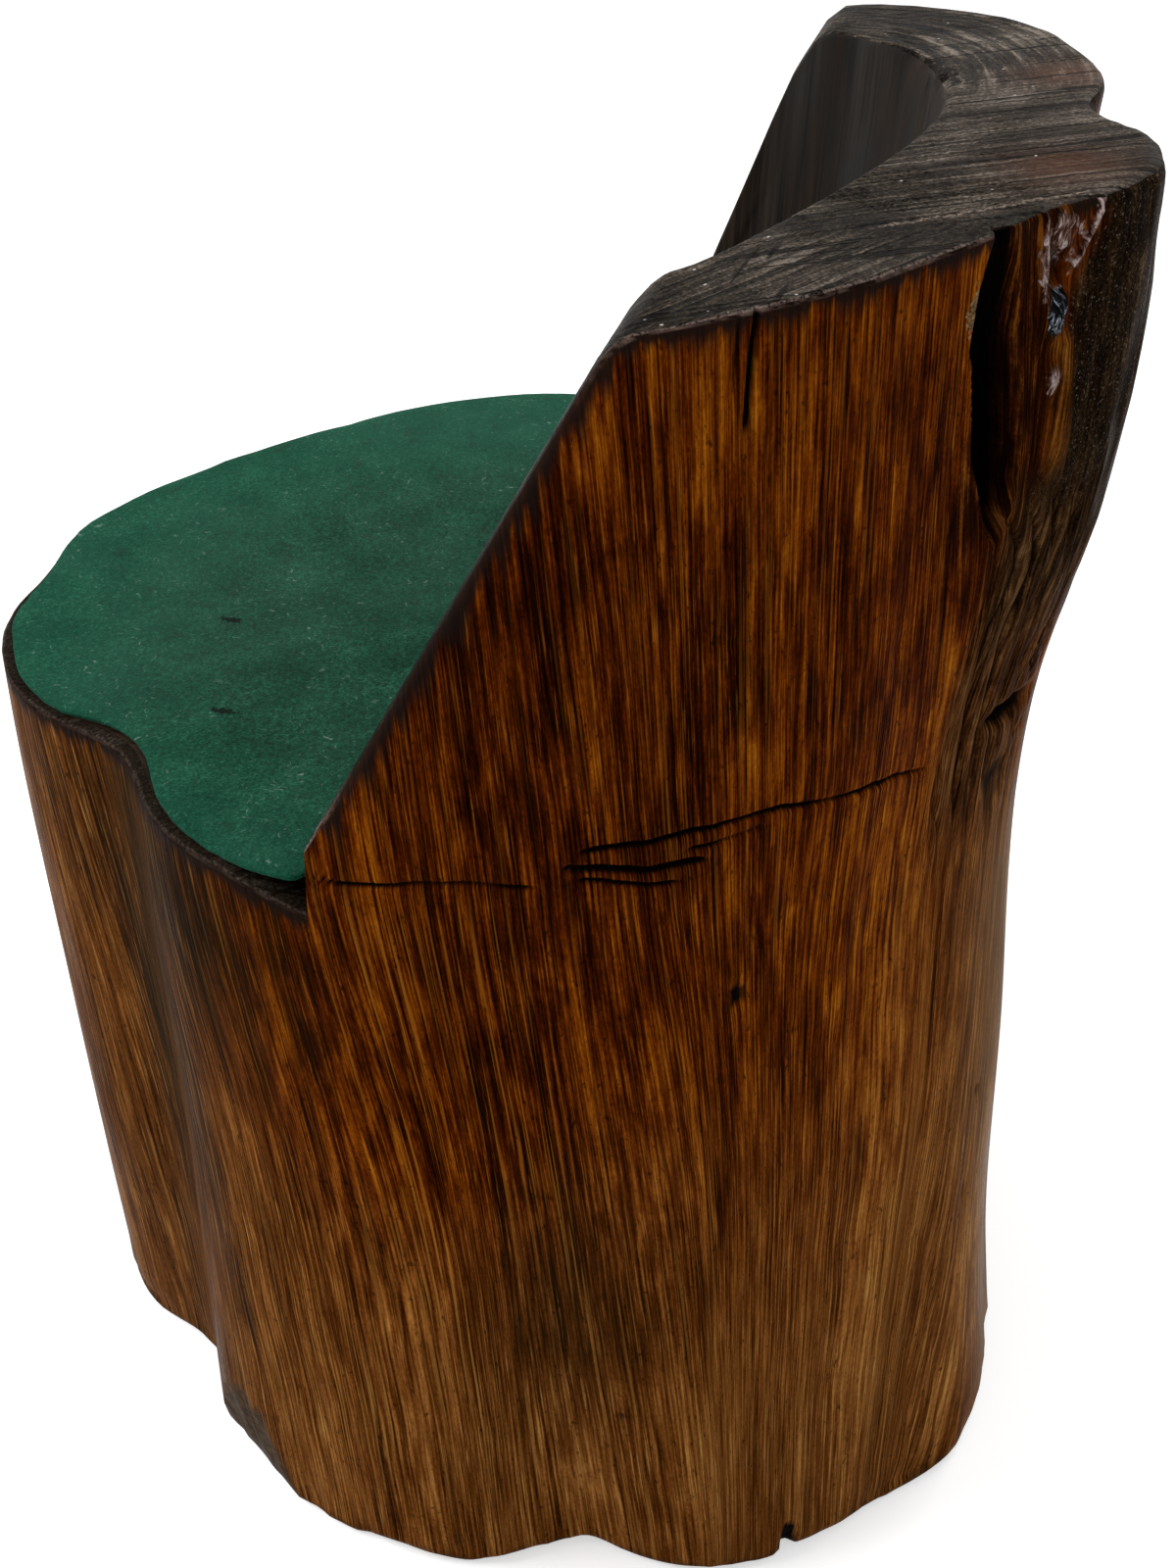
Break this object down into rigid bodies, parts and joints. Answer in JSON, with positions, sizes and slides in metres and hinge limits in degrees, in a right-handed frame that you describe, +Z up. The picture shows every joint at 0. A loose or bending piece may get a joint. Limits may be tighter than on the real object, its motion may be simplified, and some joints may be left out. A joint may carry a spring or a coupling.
{
  "type": "tree trunk chair",
  "caption": "Low tub-shaped chair sawn and carved from one length of tree trunk, with a curved back, sloping wings and a flat seat covered in green felt.",
  "frame": {"origin": "on the floor, under the middle of the sawn seat", "axes": "+Z up, the sitter faces -Y, +X is on the sitter's left"},
  "size_m": [0.504, 0.52, 0.6687],
  "materials": {
    "varnished_wood": "dark varnish, glossy on the sides and dull on the sawn faces",
    "green_felt": "matt wool felt with a short nap",
    "dried_glue": "dull dried glue"
  },
  "bodies": {
    "root": {"trunk": "varnished_wood", "seat_felt": "green_felt", "glue_film": "dried_glue"}
  },
  "joints": []
}
